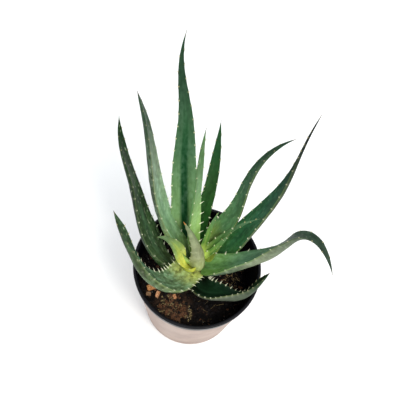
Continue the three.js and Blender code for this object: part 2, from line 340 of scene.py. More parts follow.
def discard(piece: Piece) -> None:
    """Removes a piece that was only there to be copied, or to cut with."""
    bpy.data.objects.remove(piece, do_unlink=True)


class Finish(Protocol):
    """What a piece is made of."""

    def material(self) -> Material:
        """Builds the material."""


def dress(piece: Piece, finishes: Sequence[Finish], degrees: float, node: str | None = None) -> None:
    """Gives a finished piece its materials and shading, lets it ride on the plant, and reports it.

    Args:
        piece: The finished piece.
        finishes: Its finishes.
        degrees: The angle from which on an edge stays sharp.
        node: The CAD node that it stands for. A piece that stands for none belongs to the soil.
    """
    for finish in finishes:
        piece.data.materials.append(finish.material())
    select_only(piece)
    bpy.ops.object.shade_smooth_by_angle(angle=math.radians(degrees))
    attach(piece, "root")
    if node:
        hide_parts(node)
    log.info("%s: %d faces", piece.name, len(piece.data.polygons))


def smooth(values: Sequence[float], t: np.ndarray) -> np.ndarray:
    """Reads a smooth curve through evenly spaced values.

    Args:
        values: The values, the first at t = 0 and the last at t = 1.
        t: Where to read it.

    Returns:
        The curve's values there.
    """
    v = np.asarray(values, dtype=float)
    last = len(v) - 1
    place = np.clip(t, 0, 1) * last
    i = np.minimum(place.astype(int), last - 1)
    f = place - i
    slope = np.gradient(v)
    return ((2 * f**3 - 3 * f**2 + 1) * v[i] + (f**3 - 2 * f**2 + f) * slope[i]
            + (3 * f**2 - 2 * f**3) * v[i + 1] + (f**3 - f**2) * slope[i + 1])


# ---- leaf skin ----


@dataclass(frozen=True)
class LeafSkin:
    """The waxy skin of an aloe leaf: half matt, clouded and streaked lengthwise, with a powdery bloom.

    It is yellow green where the leaf clasps the stem, blue green further out and brown at the dry point. The
    thorns are the same skin gone horny, so they are cream with brown points.
    """

    name: str
    base: str  # the face where the leaf clasps the stem
    near: str  # at a quarter of the length
    body: str  # at the middle
    far: str  # near the tip
    groove: str  # the middle of the face
    under_base: str  # the back of the leaf at the stem, with the light and shade on its flank painted in
    under: str  # the back of the leaf further out, with the light and shade on its flank painted in
    groove_depth: float = 0.3
    groove_reach: float = 0.7  # share of the length over which the groove fades
    mottle: float = 0.18  # strength of the clouds
    bloom: float = 0.15  # share of the powdery bloom
    bloom_colour: str = "#86a088"
    flecks: float = 0.25  # share of the pale flecks
    margin: str = "#74803f"
    tip: str = "#4d4226"
    tip_from: float = 0.965
    tooth: str = "#e6e8c6"
    far_tooth: str = "#a3925e"  # the last thorns, which are dry

    FACE_STOPS = (0.06, 0.27, 0.55, 0.8)  # shares of the length where the face has its four colours
    BACK_STOPS = (0.06, 0.35, 0.85)
    PALE = "#d4e0b8"  # what the flecks turn to
    POINT = "#8a5f35"  # the thorns' points
    PATTERNS = (  # lengths and widths in mm, and detail
        (22, 7, 3.0),  # clouds
        (30, 1.3, 3.0),  # streaks
        (5, 3.5, 4.0),  # blotches
        (1.1, 0.7, 2.0),  # pores, drawn coarse enough to show
        (6, 2.2, 1.0),  # flecks
    )
    WANDER = 0.12  # how far the clouds push the colours along the leaf, as a share of its length
    STREAKING = (0.94, 1.06)  # brightness of the darkest and the lightest streak
    RELIEF = (0.3, 0.2, 0.5)  # shares of streaks, pores and blotches
    RELIEF_DEPTH = 0.3  # mm
    ROUGHNESS = (0.42, 0.58)

    def material(self) -> Material:
        """Builds the skin's material. It reads the leaf's own attributes, so the pattern follows the leaf."""
        surface = Surface(f"aloe_leaf_waxy_{self.name}")
        add = surface.add
        along, across, upper, tooth = (
            add(Node.NUMBER, attribute_name=name) for name in ("along", "across", "upper", "tooth"))
        aside = add(Node.ABSOLUTE, across)
        flat = add(Node.VECTOR, attribute_name="skin")
        clouds, streaks, blotches, pores, spots = (
            add(Node.NOISE, add(Node.STRETCH, flat, (1 / long, 1 / wide, 1.0)), 1.0, detail)
            for long, wide, detail in self.PATTERNS)

        # The face and the back change colour along the leaf, and the face has its groove.
        length = add(Node.ADD, along, add(Node.MULTIPLY, add(Node.ADD, clouds, -0.5), self.WANDER))
        face = (self.base, self.near, self.body, self.far)
        face = add(Node.RAMP, length, stops=list(zip(self.FACE_STOPS, face)))
        # The back's colours also paint the light and shade on the leaf's flank.
        back = (self.under_base, self.under, self.far)
        back = add(Node.RAMP, length, stops=list(zip(self.BACK_STOPS, back)))
        fade = add(Node.EASE, along, self.groove_reach, self.groove_reach - 0.25, 0.0, self.groove_depth)
        groove = add(Node.MULTIPLY, add(Node.EASE, aside, 0.45, 0.14), fade)
        colour = add(Node.MIX, upper, back, add(Node.MIX, groove, face, self.groove))

        # Bloom lies in patches, flecks are scattered, and clouds, blotches and streaks vary the brightness.
        powder = add(Node.MULTIPLY, add(Node.EASE, clouds, 0.35, 0.65), add(Node.EASE, blotches, 0.3, 0.6))
        bloom = add(Node.EASE, along, 0.35, 0.85, self.bloom, 0.2 * self.bloom)
        colour = add(Node.MIX, add(Node.MULTIPLY, powder, bloom), colour, self.bloom_colour)
        pale = add(Node.MIX, 0.35, colour, self.PALE)
        colour = add(Node.MIX, add(Node.EASE, spots, 0.6, 0.72, 0.0, self.flecks), colour, pale)
        value = add(Node.ADD, add(Node.EASE, clouds, *USUAL, -self.mottle, self.mottle),
                    add(Node.EASE, blotches, 0.32, 0.68, -self.mottle, self.mottle))
        value = add(Node.ADD, value, add(Node.EASE, streaks, *USUAL, *self.STREAKING))
        colour = add(Node.BRIGHTEN, value, colour)

        # The margin, the dry tip and the thorns, which go from cream to tan along the leaf.
        rim = add(Node.EASE, aside, 0.965, 1.0, 0.0, 0.4)
        rim = add(Node.MULTIPLY, rim, add(Node.EASE, along, 0.85, 0.4))
        colour = add(Node.MIX, rim, colour, self.margin)
        colour = add(Node.MIX, add(Node.EASE, along, self.tip_from, self.tip_from + 0.03), colour, self.tip)
        horn = add(Node.MIX, add(Node.EASE, along, 0.35, 0.9, 0.0, 0.8), self.tooth, self.far_tooth)
        colour = add(Node.MIX, add(Node.EASE, tooth, 0.0, 0.45), colour, horn)
        colour = add(Node.MIX, add(Node.EASE, tooth, 0.85, 1.0, 0.0, 0.7), colour, self.POINT)

        relief = 0.0
        for pattern, share in zip((streaks, pores, blotches), self.RELIEF):
            relief = add(Node.ADD, relief, add(Node.MULTIPLY, pattern, share))
        rough = add(Node.EASE, blotches, *USUAL, *self.ROUGHNESS)
        return surface.finish(colour, rough, relief, 0.25, self.RELIEF_DEPTH, specular=0.12, ior=1.45)


# A skin's seven colours come first, in the order of its fields: face, groove, back.
TALL = LeafSkin(
    "tall", "#a8b569", "#73985f", "#3b603e", "#193520", "#06401a", "#7d9457", "#2a4428", groove_depth=1.0,
    groove_reach=0.78, mottle=0.1, flecks=0.0)
GLAUCOUS = LeafSkin(
    "glaucous", "#729848", "#79a071", "#76886e", "#1b351e", "#698674", "#9abc60", "#293c1f", bloom=0.35,
    margin="#7b8040", flecks=0.4)
DARK = LeafSkin(
    "dark", "#4f6134", "#3c5432", "#1a3610", "#082a06", "#466850", "#405c30", "#0a2408", mottle=0.3,
    bloom=0.12, bloom_colour="#5c7554", tip="#3f5a24", margin="#56683a", flecks=0.7)
DEEP = LeafSkin(
    "deep", "#2c5a28", "#24501f", "#23441c", "#173e1d", "#142e10", "#55803a", "#1f401e", mottle=0.14,
    bloom=0.0, flecks=0.05)
ARCHING = LeafSkin(
    "arching", "#92a540", "#507a48", "#345238", "#15351e", "#34563d", "#7a8f50", "#5c6a44", mottle=0.18,
    bloom=0.1, bloom_colour="#55705f", tip="#5b4028")
SLATE = LeafSkin(
    "slate", "#4a7f32", "#316638", "#254a34", "#0b1513", "#1e4e38", "#4f7a38", "#3f4f2a", mottle=0.2,
    bloom=0.1, bloom_colour="#4a6358", tip="#5a4a2e", flecks=0.12)
# Its far colour is darkened half way to the shade under the drooping tip: painted shade.
DROOPING = LeafSkin(
    "drooping", "#6a9548", "#58815c", "#28422e", "#27382a", "#265440", "#3a523a", "#747e62", mottle=0.18,
    bloom=0.18, bloom_colour="#6f8573")
MOTTLED = LeafSkin(
    "mottled", "#ccd474", "#58704a", "#3f5a42", "#2c4026", "#587050", "#6a7a44", "#4c5c30", mottle=0.34,
    bloom=0.22, bloom_colour="#6b8e7a", flecks=0.6)
# Painted light and shade: the near-black face is the shade that the leaves above cast on this low leaf, and
# the paler back is the light on its front flank.
SHADED = LeafSkin(
    "shaded", "#060d05", "#0a2410", "#102818", "#1a3018", "#1a3c20", "#1c2c16", "#646a5a", mottle=0.14,
    bloom=0.04, bloom_colour="#4a6150", flecks=0.0)
BUD = LeafSkin(
    "bud", "#9ea45e", "#8d9266", "#848a64", "#6f7c58", "#869468", "#a6b26c", "#888c68", bloom=0.4,
    mottle=0.14, tip="#a8743c", tip_from=0.93, bloom_colour="#989e80")
LIME = LeafSkin(
    "lime", "#a09e2e", "#d4d052", "#7b944c", "#5c744c", "#b2c152", "#ccce4e", "#9aa84c", groove_depth=0.4,
    groove_reach=0.8, mottle=0.14, bloom=0.1)
FRESH = LeafSkin(
    "fresh", "#6a903a", "#8aaf60", "#63835a", "#416238", "#799a60", "#728650", "#6a9c58", mottle=0.1,
    bloom=0.12)
SPRIG = LeafSkin(
    "sprig", "#cde66c", "#547c30", "#5a833e", "#56784a", "#94aa4c", "#a4bc54", "#557c38", mottle=0.1,
    bloom=0.05, tooth="#b9c68e")
YOUNG = LeafSkin(
    "young", "#84a044", "#4d6e30", "#405e38", "#4a6b4a", "#286528", "#80924a", "#66804a", mottle=0.12,
    bloom=0.05, tooth="#c6cf9e")


# ---- leaves ----


@dataclass
class LeafLine:
    """The line that a leaf's blade follows, with its directions at each place."""

    t: np.ndarray
    place: np.ndarray
    along: np.ndarray
    across: np.ndarray
    up: np.ndarray

    def at(self, t: np.ndarray) -> "LeafLine":
        """Reads the line at other places, between its own."""
        rows = [np.stack([np.interp(t, self.t, part[:, k]) for k in range(3)], axis=1)
                for part in (self.place, self.along, self.across, self.up)]
        return LeafLine(t, *rows)


@dataclass
class Leaf:
    """One fleshy leaf: a channelled, tapering blade with a thorn every so often along both margins.

    Attributes:
        node: The CAD node that it stands for.
        height: Where on the stem it starts, in mm.
        length: Its length along its own line, in mm.
        rise: Headings above the horizontal in degrees, evenly spaced from base to tip.
        turn: Compass angles of the heading from +X, in degrees.
        across: Widths in mm, which end in a point.
        twist: Rolls of the blade about its own line, in degrees.
        teeth: Spacing of the thorns near the base and near the tip, in mm.
        tooth: Length of a thorn near the base, in mm.
        skin: The finish.
        start: Distance of the base from the middle of the stem, in mm.
    """

    node: str
    height: float
    length: float
    rise: Stations
    turn: Stations
    across: Stations
    twist: Stations
    teeth: tuple[float, float]
    tooth: float
    skin: LeafSkin
    start: float = 6.0

    STEPS = 240  # in which the heading is followed
    SECTION = 32  # points round the blade
    RING_GAP = 1.9  # spacing of the rings in mm, at least
    MOST_RINGS = 100
    THICKNESS = 0.37  # of the flesh at the base, as a share of the base width
    THINNING = 0.7  # how fast the thickness runs out towards the tip
    CHANNEL = 0.22  # height of the raised margins, as a share of the half width
    CLASP = 0.5  # more of the same at the base, which wraps the stem
    CLASP_LENGTH = 14.0
    DOME = 0.4  # length of the rounded base, as a share of the base width
    FLAT_FOOT = 0.995  # share of the dome's height at which it ends
    MARGIN = 0.5  # half the thickness of the margin
    TIP = 0.2  # least half width
    DENTS = 0.35  # depth of the flesh's dents
    DENT_SIZE = 13.0
    FULL_DENTS = 8.0  # half width from which on the dents are full
    BACK_SHIFT = 40.0  # moves the pattern on the back, so that it differs from the face
    BARE_BASE = 13.0  # longest stretch without thorns at the base
    BARE_SHARE = 0.2  # the same on a short leaf, as a share of its length
    BARE_TIP = 0.06  # share of the length without thorns at the tip
    SWELL = 0.45  # how far the margin swells out under a thorn
    SWELL_REACH = 1.3
    THORN_WIDTH = 1.15  # half the width of a thorn along the margin
    THORN_DEPTH = 0.5  # half its thickness
    LEAN = 0.35  # its lean towards the tip
    SHRINK = 0.45  # how much smaller the last thorns are
    HORN_SWELL = 0.14  # how horny the skin is on a swelling, where 1 is a thorn's point
    HORN_ROOT = 0.3  # the same at a thorn's root

    def line(self) -> LeafLine:
        """Follows the leaf's heading from the stem to its tip."""
        t = np.linspace(0, 1, self.STEPS + 1)
        e = np.radians(smooth(self.rise, t))
        a = np.radians(smooth(self.turn, t))
        roll = np.radians(smooth(self.twist, t))[:, None]
        along = np.stack([np.cos(e) * np.cos(a), np.cos(e) * np.sin(a), np.sin(e)], axis=1)
        up = np.stack([-np.sin(e) * np.cos(a), -np.sin(e) * np.sin(a), np.cos(e)], axis=1)
        side = np.cross(along, up)
        across = side * np.cos(roll) + up * np.sin(roll)
        up = up * np.cos(roll) - side * np.sin(roll)
        start = np.array([self.start * math.cos(a[0]), self.start * math.sin(a[0]), self.height])
        steps = (along[1:] + along[:-1]) / 2 * self.length / self.STEPS
        place = np.vstack([start, start + np.cumsum(steps, axis=0)])
        return LeafLine(t, place, along, across, up)

    def base_rounding(self, t: np.ndarray) -> np.ndarray:
        """The share of its full section that the blade has near its base, which is a dome."""
        short = np.maximum(1 - t * self.length / (self.across[0] * self.DOME), 0)
        return np.sqrt(1 - np.minimum(short, self.FLAT_FOOT) ** 2)

    def half_width(self, t: np.ndarray) -> np.ndarray:
        """Half the blade's width."""
        return np.maximum(smooth((*self.across, 0), t) / 2 * self.base_rounding(t), self.TIP)

    def channel(self, t: np.ndarray) -> np.ndarray:
        """How high the margins stand over the middle."""
        clasp = self.CLASP * np.exp(-t * self.length / self.CLASP_LENGTH)
        return self.half_width(t) * (self.CHANNEL + clasp)

    def thickness(self, t: np.ndarray) -> np.ndarray:
        """The flesh under the middle of the channel."""
        full = self.THICKNESS * self.across[0] * (1 - t) ** self.THINNING
        return np.maximum(full * self.base_rounding(t), self.TIP)

    def thorn_places(self, side: int) -> list[float]:
        """The distances of the thorns from the base, in mm, on one margin: -1 the left and 1 the right."""
        near, far = self.teeth
        distance = min(self.BARE_BASE, self.BARE_SHARE * self.length) + (near / 2 if side > 0 else 0)
        places = []
        while distance < self.length * (1 - self.BARE_TIP):
            places.append(distance)
            distance += near + (far - near) * distance / self.length
        return places

    def build(self, thorn: Piece) -> None:
        """Models and dresses the leaf: a ringed cylinder is laid on the leaf's line, and gets its thorns.

        Args:
            thorn: The model of a thorn, one unit long, its root below z = 0.
        """
        blade = primitive(self.node.replace("leaf", "aloe"), "cylinder", vertices=self.SECTION, depth=1,
                          location=(0, 0, 0.5))
        cut_edges(blade, min(self.MOST_RINGS, round(self.length / self.RING_GAP)), axis=2)
        self.lay(blade)
        line = self.line()
        thorns = [self.plant(thorn, line, side, distance)
                  for side in (-1, 1) for distance in self.thorn_places(side)]
        dress(joined(blade.name, [blade, *thorns]), [self.skin], 60, self.node)

    def lay(self, blade: Piece) -> None:
        """Lays a unit cylinder on the leaf's line, and stores what the skin reads.

        Args:
            blade: The cylinder, which stands from z = 0 to z = 1.
        """
        unit = points_of(blade)
        t = np.clip(unit[:, 2], 0, 1)
        angle = np.arctan2(unit[:, 1], unit[:, 0])
        s = np.cos(angle)
        upper = np.sin(angle) > -1e-6  # the margins with it
        line = self.line().at(t)
        half, channel, flesh = self.half_width(t), self.channel(t), self.thickness(t)
        swell = self.margin_swell(t, s)
        round_off = np.sqrt(np.maximum(1 - s * s, 0))
        edge = self.MARGIN * np.minimum(1, half / 2)
        height = channel * s * s + np.where(upper, edge, -flesh - edge) * round_off
        width = s * (half + swell)
        places = line.place + line.across * width[:, None] + line.up * height[:, None]
        places += self.unevenness(places, half)
        move_points(blade, places * MM)
        flat = np.stack([t * self.length, width, np.where(upper, 0.0, self.BACK_SHIFT)], axis=1)
        shift = [self.height * 3, self.length, 0]  # so that no two leaves have the same pattern
        write_attributes(blade, along=t, across=s, upper=np.where(upper, 1.0, 0.0),
                         tooth=np.clip(swell / self.SWELL, 0, 1) * self.HORN_SWELL, skin=flat + shift)

    def margin_swell(self, t: np.ndarray, s: np.ndarray) -> np.ndarray:
        """How far the margin swells out under each thorn, in mm."""
        swell = np.zeros_like(t)
        for side in (-1, 1):
            near = np.maximum(s * side, 0) ** 8
            for distance in self.thorn_places(side):
                swell += self.SWELL * near * np.exp(-((t * self.length - distance) / self.SWELL_REACH) ** 2)
        return swell

    def unevenness(self, places: np.ndarray, half: np.ndarray) -> np.ndarray:
        """Small dents and swellings of the flesh, in mm, which are less on a narrow leaf."""
        depth = self.DENTS * np.minimum(1, half / self.FULL_DENTS)
        rows = [noise.noise_vector(Vector(place) / self.DENT_SIZE) for place in places]
        return np.array(rows) * depth[:, None]

    def plant(self, thorn: Piece, line: LeafLine, side: int, distance: float) -> Piece:
        """Sets one thorn on a margin.

        Args:
            thorn: The model of a thorn.
            line: The leaf's line.
            side: -1 for the left margin and 1 for the right.
            distance: How far from the base it stands, in mm.

        Returns:
            The thorn's copy in place.
        """
        t = np.array([distance / self.length])
        here = line.at(t)
        half, channel = self.half_width(t)[0], self.channel(t)[0]
        along, across, up = (Vector(part[0]).normalized() for part in (here.along, here.across, here.up))
        margin = Vector(here.place[0]) + across * side * half + up * channel
        out = (across * side * half + up * 2 * channel).normalized()
        out = (out + along * self.LEAN).normalized()
        flat = out.cross(along).normalized()
        toward = flat.cross(out)
        size = 1 - self.SHRINK * distance / self.length
        turn = Matrix((toward, flat, out)).transposed()
        scale = Matrix.Diagonal((self.THORN_WIDTH * size, self.THORN_DEPTH * size, self.tooth * size))
        copy = placed_copy(thorn, Matrix.Translation(margin * MM) @ (turn @ scale * MM).to_4x4())
        rise = np.clip(points_of(copy)[:, 2], 0, 1)
        ones = np.ones_like(rise)
        skin = np.stack([ones * distance, ones * side * half, ones], axis=1)
        write_attributes(copy, along=ones * t[0], across=ones * side * 0.9, upper=ones * 0.5,
                         tooth=self.HORN_ROOT + (1 - self.HORN_ROOT) * rise, skin=skin)
        return copy


@dataclass
class Rosette:
    """The fifteen leaves, from the heart outwards."""

    leaves: tuple[Leaf, ...] = (
        Leaf("leaf_heart", 137, 82, (100, 109, 113, 116), (-92, -46, -27, -14),
             (17.5, 18, 10.5, 6), (-24, -4), (9, 9), 1.2, BUD, start=4),
        Leaf("leaf_young_short", 151, 36, (46, 42, 40), (36, 47, 46),
             (6, 6, 5, 4), (9, 2), (10, 11), 2, SPRIG),
        Leaf("leaf_young_slim", 150, 58, (60, 58, 52), (80, 79, 57),
             (7, 6.5, 4.5, 3), (0, 0), (14, 14), 1.5, SPRIG),
        Leaf("leaf_young_right", 149, 76, (46, 43, 35, 30), (54, 46, 30, 13),
             (10.5, 8, 4.5, 2.5), (0, 0), (11, 12), 2, YOUNG),
        Leaf("leaf_inner_upright", 146, 179, (67, 71, 72, 71, 71), (135, 101, 102, 100, 88),
             (15.5, 14.5, 9, 6.5), (-32, -47, -30), (13, 20), 4.5, FRESH),
        Leaf("leaf_young_left", 142, 73, (36, 58, 51, 41), (241, 139, 165, 218),
             (10, 11, 15.5, 7), (-52, 14), (14, 14), 1.5, LIME),
        Leaf("leaf_right_arching", 141, 163, (43, 46, 47, 41, 31), (70, 54, 79, 53, 16),
             (25, 22.5, 12, 7.5), (2, 22, 39, 26), (10, 15), 3, ARCHING),
        Leaf("leaf_back_left", 141, 214, (50, 52, 57, 65, 74), (164, 140, 120, 124, 154),
             (24, 21, 20, 14.5), (-33, -42, -62, -40), (14, 16), 3, GLAUCOUS),
        Leaf("leaf_right_drooping", 136, 185, (38, 37, 43, 66, 64, -1, -38), (-8, 14, 14, 18, 9, -42, -62),
             (24, 25, 20, 10), (-11, 33, 47, 61, 39, 5, -1), (12, 14), 3, DROOPING),
        Leaf("leaf_back_right", 133, 163, (55, 55, 57, 59), (114, 83, 93, 99),
             (17, 16.5, 12.5, 8.5), (0, 0), (12, 14), 2.5, DEEP),
        Leaf("leaf_front_left", 133, 150, (53, 39, 42, 45, 32, 28), (233, 244, 190, 148, 133, 130),
             (27, 31, 21.5, 18), (6, -7, -59, -71, -8), (6, 10), 4.5, MOTTLED),
        Leaf("leaf_tall_back", 120, 259, (60, 60, 56, 55, 51, 48), (143, 113, 107, 103, 115, 80),
             (26, 26.5, 22, 10.5), (0, 0), (11, 14), 3, TALL),
        Leaf("leaf_front_right_low", 117, 97, (16, 18, 20, 33, 42), (-84, -10, 0, 47, 46),
             (25.5, 24.5, 20.5, 14.5), (11, 26, 74, 44), (5, 6), 4, SHADED),
        Leaf("leaf_left", 115, 201, (28, 41, 48, 53, 63), (198, 143, 123, 129, 103),
             (23.5, 27.5, 19.5, 14), (-68, -37, -57, -27), (12, 14), 3, DARK),
        Leaf("leaf_right_long", 114, 211, (45, 49, 46, 44, 42), (37, 47, 54, 75, 63),
             (30, 24, 16, 1.7), (6, 21, 41, 52), (12, 15), 3, SLATE),
    )

    ROOT = 0.4  # how far a thorn goes on below z = 0
    HOLLOW = 0.55  # of its flanks
    HOOK = 0.55  # how far its point is bent over

    def make_thorn(self) -> Piece:
        """Models one thorn as a unit: a cone with hollow flanks, hooked towards +X, its root below z = 0."""
        thorn = primitive("thorn_model", "cone", vertices=6, depth=1 + self.ROOT,
                          location=(0, 0, (1 - self.ROOT) / 2))
        cut_edges(thorn, 4, axis=2)
        places = points_of(thorn)
        height = np.clip(places[:, 2], 0, 1)
        places[:, :2] *= (1 - self.HOLLOW * height * (1 - height) * 2)[:, None]
        places[:, 0] += self.HOOK * height**2
        move_points(thorn, places)
        return thorn

    def build(self) -> None:
        """Models and dresses every leaf."""
        thorn = self.make_thorn()
        for leaf in self.leaves:
            leaf.build(thorn)
        discard(thorn)


# ---- pot ----


@dataclass(frozen=True)
class MouldedPlastic:
    """Injection-moulded polypropylene: a soft sheen, cloudy colour and faint marks of handling."""

    name: str
    colour: str
    cloud: str  # the second tone of its cloudy colour
    scuff: str  # the colour of scuffs and dust
    roughness: float
    foot_browning: float = 0.0  # share of the brown mixed into the lowest part of the wall

    SCUFFS = 0.3  # share of the scuffs
    FOOT_BROWN = "#6d4c38"
    FOOT_BROWN_REACH = (26 * MM, 2 * MM)  # heights where the brown starts and where it is full
    CLOUD_SIZE = 26 * MM
    LINE_SIZE = 1.5 * MM  # width of the scuff lines that run up the wall
    GRAIN_SIZE = 0.5 * MM
    TALL_CLOUDS = (1.0, 1.0, 0.7)  # how the pattern is squeezed, so that the clouds are taller than wide
    TALL_LINES = (1.0, 1.0, 0.08)

    def material(self) -> Material:
        """Builds the plastic's material."""
        surface = Surface(self.name)
        add = surface.add
        here = add(Node.PLACE)
        clouds = add(Node.NOISE, add(Node.STRETCH, here, self.TALL_CLOUDS), 1 / self.CLOUD_SIZE, 4.0)
        lines = add(Node.NOISE, add(Node.STRETCH, here, self.TALL_LINES), 1 / self.LINE_SIZE, 4.0)
        grains = add(Node.NOISE, here, 1 / self.GRAIN_SIZE, 2.0)
        colour = add(Node.MIX, add(Node.EASE, clouds, 0.35, 0.65), self.colour, self.cloud)
        rubbed = add(Node.MULTIPLY, add(Node.EASE, lines, 0.56, 0.72), add(Node.EASE, clouds, 0.45, 0.7))
        colour = add(Node.MIX, add(Node.MULTIPLY, rubbed, self.SCUFFS), colour, self.scuff)
        low = add(Node.EASE, add(Node.HEIGHT, here), *self.FOOT_BROWN_REACH, 0.0, self.foot_browning)
        colour = add(Node.MIX, add(Node.MULTIPLY, low, add(Node.EASE, grains, 0.3, 0.6)), colour, self.FOOT_BROWN)
        rough = add(Node.EASE, clouds, *USUAL, self.roughness - 0.07, self.roughness + 0.07)
        relief = add(Node.ADD, grains, add(Node.MULTIPLY, lines, 1.5))
        return surface.finish(colour, rough, relief, 0.25, 0.08, specular=0.2, ior=1.49)


@dataclass
class NurseryPot:
    """The tapered pot: taupe outside, black inside, on its lip and on its collar. Sizes are in mm."""

    height: float = 130.0
    rim_radius: float = 65.0
    base_radius: float = 50.0
    wall: float = 2.0
    floor: float = 2.5
    lip_width: float = 3.5
    collar_height: float = 12.0
    collar_proud: float = 1.5
    edge: float = 0.8  # softening of the edges
    foot_ring: float = 4.0  # width of the ring that it stands on
    foot_swell: float = 0.35
    foot_height: float = 3.5
    drain_radius: float = 4.0
    drain_circle: float = 34.0
    drains: int = 6
    drain_sides: int = 40
    steps: int = 160
    bevel: float = 0.35
    outside: MouldedPlastic = MouldedPlastic(
        "polypropylene_matt_taupe", "#b09a8d", "#a69186", "#bcaea5", roughness=0.5, foot_browning=0.5)
    inside: MouldedPlastic = MouldedPlastic(
        "polypropylene_satin_black", "#040408", "#08080e", "#2a2930", roughness=0.4)

    INWARD = 0.2  # a normal that points outwards less than this belongs to the inside or the floor
    UNDER = -0.5  # height of the normal, below which a face belongs to an underside

    def inner_radius(self, z: float) -> float:
        """The radius of the inner wall at a height."""
        top = self.rim_radius - self.lip_width
        bottom = self.base_radius - self.wall
        return bottom + (top - bottom) * z / self.height

    def outline(self) -> list[tuple[float, float]]:
        """Half the pot's outline, from the middle of its underside round to the middle of its floor."""
        base, rim, top, floor, edge = self.base_radius, self.rim_radius, self.height, self.floor, self.edge
        foot = top - self.collar_height
        wall_top = self.inner_radius(foot) + self.wall
        return [
            (0, 0),
            (base - self.foot_ring, 0),
            (base - edge, 0),
            (base, edge),
            (base + self.foot_swell, self.foot_height),
            (wall_top, foot),
            (wall_top + self.collar_proud, foot + edge),
            (rim, top - edge),
            (rim - edge, top),
            (rim - self.lip_width + edge, top),
            (self.inner_radius(top - edge), top - edge),
            (self.inner_radius(floor + edge), floor + edge),
            (self.inner_radius(floor) - edge, floor),
            (0, floor),
        ]

    def cut_drains(self, pot: Piece) -> None:
        """Cuts the ring of drain holes through the pot's floor."""
        for i in range(self.drains):
            angle = i / self.drains * math.tau
            place = Vector((math.cos(angle), math.sin(angle), 0)) * self.drain_circle * MM
            cutter = primitive("drain_cutter", "cylinder", vertices=self.drain_sides, location=place,
                               radius=self.drain_radius * MM, depth=4 * self.floor * MM)
            apply_modifier(pot, "BOOLEAN", operation="DIFFERENCE", object=cutter, solver="EXACT")
            discard(cutter)

    def build(self) -> None:
        """Models the pot and gives each face its plastic."""
        pot = spun("nursery_pot", self.outline(), self.steps)
        apply_modifier(pot, "BEVEL", width=self.bevel * MM, segments=3, limit_method="ANGLE",
                       angle_limit=math.radians(25))
        self.cut_drains(pot)
        for face in pot.data.polygons:
            place, normal = face.center, face.normal
            outward = (normal.x * place.x + normal.y * place.y) / max(math.hypot(place.x, place.y), MM)
            collar = place.z > (self.height - self.collar_height - self.edge / 2) * MM
            hollow = outward < self.INWARD and normal.z > self.UNDER and place.z > self.floor * MM / 2
            face.material_index = int(collar or hollow)  # 1 is the inside's black
        dress(pot, [self.outside, self.inside], 35, "pot")


# ---- potting mix ----


@dataclass(frozen=True)
class PottingSoil:
    """Damp peat, nearly black, with brown crumbs, a tan front patch of dry mix and painted light, and painted
    shade low down.
    """

    CLOD_SIZE = 9 * MM
    CRUMB_SIZE = 1.6 * MM
    GRAIN_SIZE = 0.7 * MM
    TONES = ((0.3, "#040304"), (0.5, "#0a0706"), (0.64, "#18100c"), (0.78, "#382318"))
    DRY_AT = (-15 * MM, -42 * MM, 106 * MM)
    DRY_REACH = (26 * MM, 6 * MM)  # distances where the tan patch, dry mix with painted light, starts and where it is full
    DRY = "#5a4230"
    LOW_SHADE_HEIGHTS = (92 * MM, 82 * MM)  # painted shade: where the low side starts to darken, and where it is darkest
    LOW_SHADE = "#040407"
    BROWN = "#4b3526"

    def material(self) -> Material:
        """Builds the soil's material."""
        surface = Surface("peat_potting_mix_damp")
        add = surface.add
        here = add(Node.PLACE)
        clods = add(Node.NOISE, here, 1 / self.CLOD_SIZE, 8.0, 0.7)
        crumbs = add(Node.CELLS, here, 1 / self.CRUMB_SIZE)
        grains = add(Node.NOISE, here, 1 / self.GRAIN_SIZE, 3.0)
        colour = add(Node.RAMP, clods, stops=self.TONES)
        # The tan front patch: dry mix, with the pool of light that falls on the soil there painted in.
        dry = add(Node.EASE, add(Node.DISTANCE, here, self.DRY_AT), *self.DRY_REACH)
        dry = add(Node.MULTIPLY, dry, add(Node.EASE, clods, 0.4, 0.6))
        colour = add(Node.MIX, add(Node.MULTIPLY, dry, 0.6), colour, self.DRY)
        # Painted shade: the low side, deep in the pot, darkens nearly to the black of the shaded wall.
        low_shade = add(Node.EASE, add(Node.HEIGHT, here), *self.LOW_SHADE_HEIGHTS, 0.0, 0.85)
        colour = add(Node.MIX, low_shade, colour, self.LOW_SHADE)
        bright = add(Node.EASE, crumbs.node.outputs["Color"], 0.86, 0.98, 0.0, 0.5)
        colour = add(Node.MIX, bright, colour, self.BROWN)
        relief = add(Node.ADD, add(Node.MULTIPLY, crumbs, -1.2), grains)
        rough = add(Node.EASE, grains, *USUAL, 0.6, 0.95)
        return surface.finish(colour, rough, relief, 0.9, 0.8, specular=0.15, ior=1.4)


@dataclass(frozen=True)
class Fragment:
    """The finish of a loose bit in the mix: one rough colour, broken up by a second one along its grain."""

    name: str
    colour: str
    second: str
    grain: float  # size of the pattern in mm
    roughness: float = 0.85

    def material(self) -> Material:
        """Builds the fragment's material."""
        surface = Surface(self.name)
        add = surface.add
        pattern = add(Node.NOISE, add(Node.PLACE), 1 / (self.grain * MM), 5.0, 0.65)
        colour = add(Node.MIX, add(Node.EASE, pattern, 0.38, 0.62), self.colour, self.second)
        rough = add(Node.EASE, pattern, *USUAL, self.roughness, self.roughness - 0.15)
        return surface.finish(colour, rough, pattern, 0.6, 0.3, specular=0.2)


DARK_CRUMB = Fragment("peat_crumb_dark", "#050404", "#120c0a", 1.5)
BROWN_CRUMB = Fragment("peat_crumb_brown", "#1c110b", "#48301e", 1.2)
TAN_FIBRE = Fragment("dry_fibre_tan", "#43361f", "#8e7c56", 1.0)
PERLITE = Fragment("perlite_grit_white", "#8f8a80", "#5f5b54", 0.8, 0.7)
BARK_FLAKE = Fragment("bark_flake_broken", "#2e1b11", "#644229", 1.2)
STEM_SKIN = Fragment("aloe_stem_dry_scars", "#6f7a45", "#8f8358", 2.5, 0.7)


